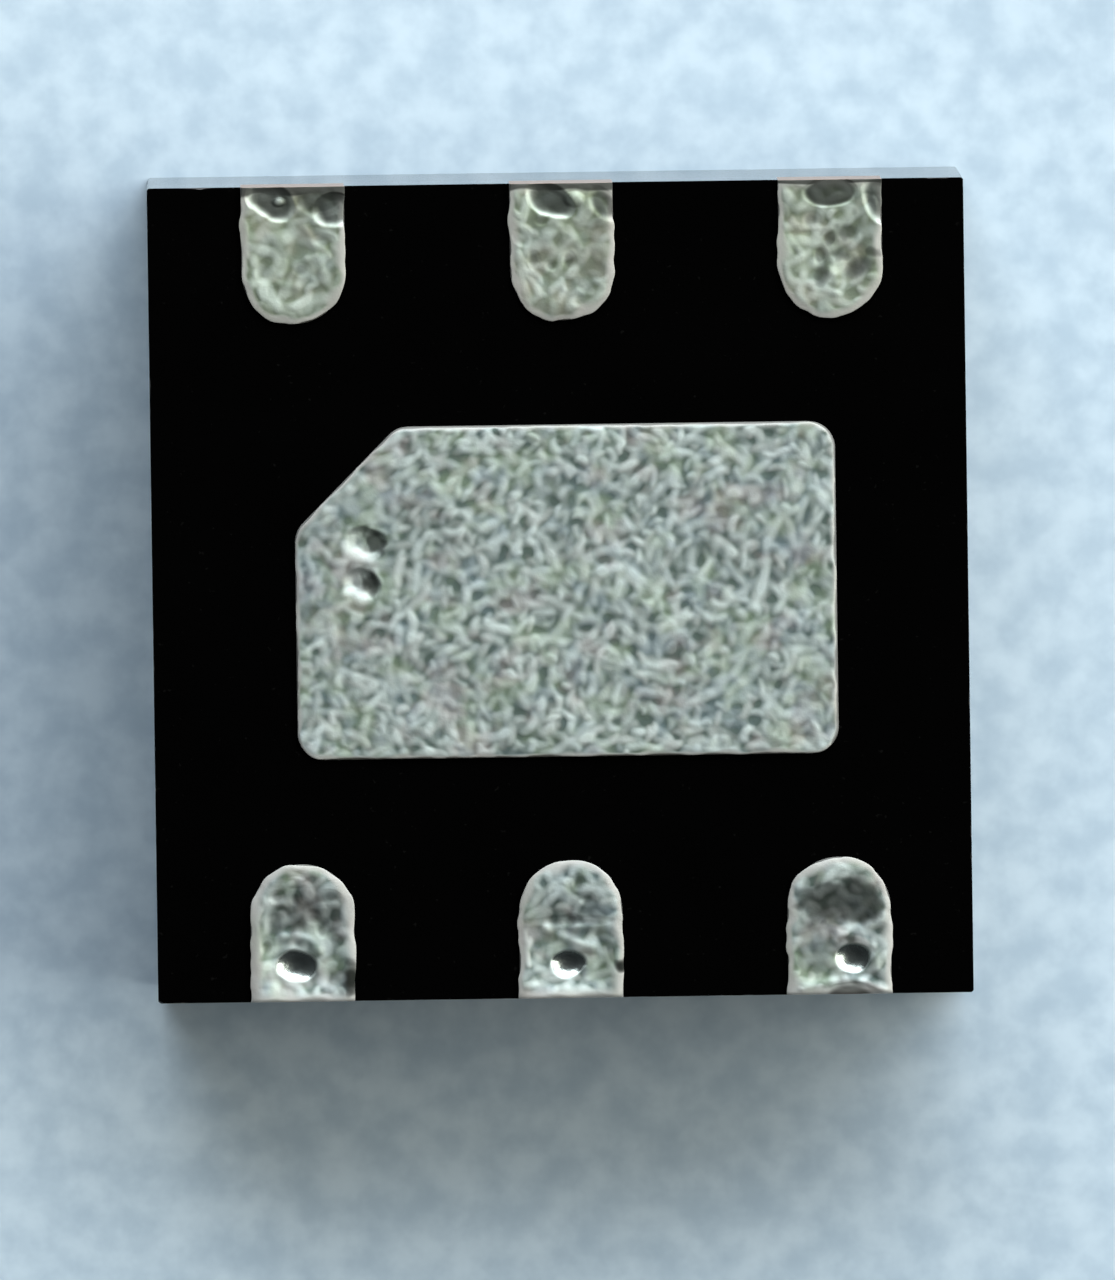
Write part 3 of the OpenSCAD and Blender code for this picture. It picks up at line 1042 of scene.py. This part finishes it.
def build_mould(face_finish, wall_finish):
    """The moulding: the frame's own block with its pockets, cut to the chipped block's rounded edges. Its
    flat faces are shaded flat, and the rounds between them smooth."""
    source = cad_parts["mould_body"].data.copy()
    source.materials.clear()
    source.transform(Matrix.Scale(1 / MM, 4))
    loose = bmesh.new()
    loose.from_mesh(source)
    bmesh.ops.remove_doubles(loose, verts=loose.verts, dist=MERGE_DISTANCE)
    loose.to_mesh(source)
    loose.free()
    block = helper_object("block", source)
    points, faces = chipped_block()
    tool_mesh = bpy.data.meshes.new("tool")
    tool_mesh.from_pydata(points.tolist(), [], faces)
    tool = helper_object("tool", tool_mesh)
    cut = block.modifiers.new("edges", "BOOLEAN")
    cut.operation = "INTERSECT"
    cut.solver = "EXACT"
    cut.object = tool
    made = bpy.context.evaluated_depsgraph_get()
    mesh = bpy.data.meshes.new_from_object(block.evaluated_get(made))
    mesh.name = "moulded_block"
    bpy.data.objects.remove(block)
    bpy.data.objects.remove(tool)
    mesh.transform(Matrix.Scale(MM, 4))
    mesh.materials.clear()
    mesh.materials.append(face_finish)
    mesh.materials.append(wall_finish)
    normals = np.zeros(3 * len(mesh.polygons))
    mesh.polygons.foreach_get("normal", normals)
    normals = np.abs(normals.reshape(-1, 3))
    mesh.polygons.foreach_set("material_index", (normals[:, 2] < MOULDED_FACE).astype(np.int32))
    mesh.set_sharp_from_angle(angle=math.radians(MOULD_SHARP))
    mesh.polygons.foreach_set("use_smooth", normals.max(axis=1) < FLAT_FACE)
    piece = bpy.data.objects.new("moulded_block", mesh)
    bpy.context.scene.collection.objects.link(piece)
    dress_node(piece, "mould_body")


def dress_inner_nodes():
    """Finishes of the pieces inside the moulding, which keep the frame's own shapes."""
    finishes = {
        "silicon_die": material("silicon", silicon, Metallic=0.6),
        "die_attach": material("silver_epoxy", silver_epoxy, Metallic=0.4),
    }
    bond_gold = material("bond_gold", gold, Metallic=1.0)
    for number in range(1, LEAD_COUNT + 1):
        finishes[f"bond_wire_{number}"] = bond_gold
    for name, finish in finishes.items():
        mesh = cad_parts[name].data
        mesh.materials.clear()
        mesh.materials.append(finish)


# Camera: a long lens almost straight above, leaning towards the lit edge
VIEW_DISTANCE = 80.0
VIEW_HEIGHT = 3.094
VIEW_TARGET = Vector((-0.009, -0.1188, SOLDER_Z))
VIEW_FROM = Vector((-0.66, 3.83, SOLDER_Z + VIEW_DISTANCE))
VIEW_ROLL = math.radians(0.79)


def add_camera():
    """The camera, turned to its target and rolled a little."""
    data = bpy.data.cameras.new("camera")
    data.lens = data.sensor_width * VIEW_DISTANCE / VIEW_HEIGHT
    data.clip_start = MM
    data.clip_end = 10.0
    camera = bpy.data.objects.new("camera", data)
    bpy.context.scene.collection.objects.link(camera)
    back = (VIEW_FROM - VIEW_TARGET).normalized()
    right = Vector((math.sin(VIEW_ROLL), math.cos(VIEW_ROLL), 0)).cross(back).normalized()
    turn = Matrix((right, back.cross(right), back)).transposed()
    camera.matrix_world = Matrix.Translation(VIEW_FROM * MM) @ turn.to_4x4()
    bpy.context.scene.camera = camera


# Lamps: where they shine from, as azimuth from +X and elevation, and their half width and half height seen
# from the chip, all in degrees. A lamp of brightness 1 looks as bright as white paper.
LAMP_DISTANCE = 60.0
Lamp = namedtuple("Lamp", "azimuth elevation half_w half_h brightness colour")
LAMPS = {
    "window": Lamp(76, 38, 37.5, 21, 4.7, (0.96, 1.0, 1.03)),
    "side_window": Lamp(4, 45, 15.5, 15, 5.0, (1.0, 0.97, 0.87)),
}


def add_lamps():
    """Large soft lamps that face the chip."""
    for name, lamp in LAMPS.items():
        azimuth = math.radians(lamp.azimuth)
        elevation = math.radians(lamp.elevation)
        level = math.cos(elevation)
        direction = Vector((level * math.cos(azimuth), level * math.sin(azimuth), math.sin(elevation)))
        data = bpy.data.lights.new(name, "AREA")
        data.shape = "RECTANGLE"
        data.size = 2 * LAMP_DISTANCE * math.tan(math.radians(lamp.half_w)) * MM
        data.size_y = 2 * LAMP_DISTANCE * math.tan(math.radians(lamp.half_h)) * MM
        data.energy = lamp.brightness * math.pi * data.size * data.size_y
        data.color = lamp.colour
        made = bpy.data.objects.new(name, data)
        bpy.context.scene.collection.objects.link(made)
        made.location = direction * LAMP_DISTANCE * MM
        made.rotation_euler = direction.to_track_quat("Z", "Y").to_euler()
        made.visible_camera = False


# Room: the direction of its brighter side, and its colours away from it and towards it
ROOM_SIDE = (0.57, 0.82, 0.0)
ROOM_DARK = (0.022, 0.024, 0.026, 1.0)
ROOM_LIGHT = (0.075, 0.079, 0.083, 1.0)


def add_world():
    """Dim room light, a little brighter on the window's side."""
    world = bpy.data.worlds.new("room")
    bpy.context.scene.world = world
    world.use_nodes = True
    start = Wire(world.node_tree)
    direction = start.add("ShaderNodeTexCoord", output="Generated")
    settings = {"operation": "DOT_PRODUCT"}
    side = start.add("ShaderNodeVectorMath", settings, {0: direction, 1: ROOM_SIDE}, "Value")
    colour = side.step(-1.0, 1.0).mix(ROOM_DARK, ROOM_LIGHT)
    background = world.node_tree.nodes["Background"]
    world.node_tree.links.new(colour.socket, background.inputs["Color"])


# Half the side of the floor
FLOOR_HALF = 200.0


def add_floor():
    """A square floor that the chip lies on."""
    corners = FLOOR_HALF * np.array([(-1, -1, 0), (1, -1, 0), (1, 1, 0), (-1, 1, 0)])
    mesh = bpy.data.meshes.new("floor")
    mesh.from_pydata((corners * MM).tolist(), [], [(0, 1, 2, 3)])
    mesh.materials.append(material("paper", paper, Roughness=0.9, Specular_IOR_Level=0.1))
    floor = bpy.data.objects.new("floor", mesh)
    bpy.context.scene.collection.objects.link(floor)


tin_plate = material("tin_plate", tin)
face_black = material("moulded_face", moulded_face, Roughness=0.6, Specular_IOR_Level=0.008)
wall_black = material("sawn_wall", sawn_wall)
build_pad(tin_plate)
for lead_number in range(1, LEAD_COUNT + 1):
    build_lead(lead_number, tin_plate)
build_mould(face_black, wall_black)
dress_inner_nodes()
add_floor()
add_world()
add_lamps()
add_camera()
bpy.context.scene.view_settings.view_transform = "Standard"
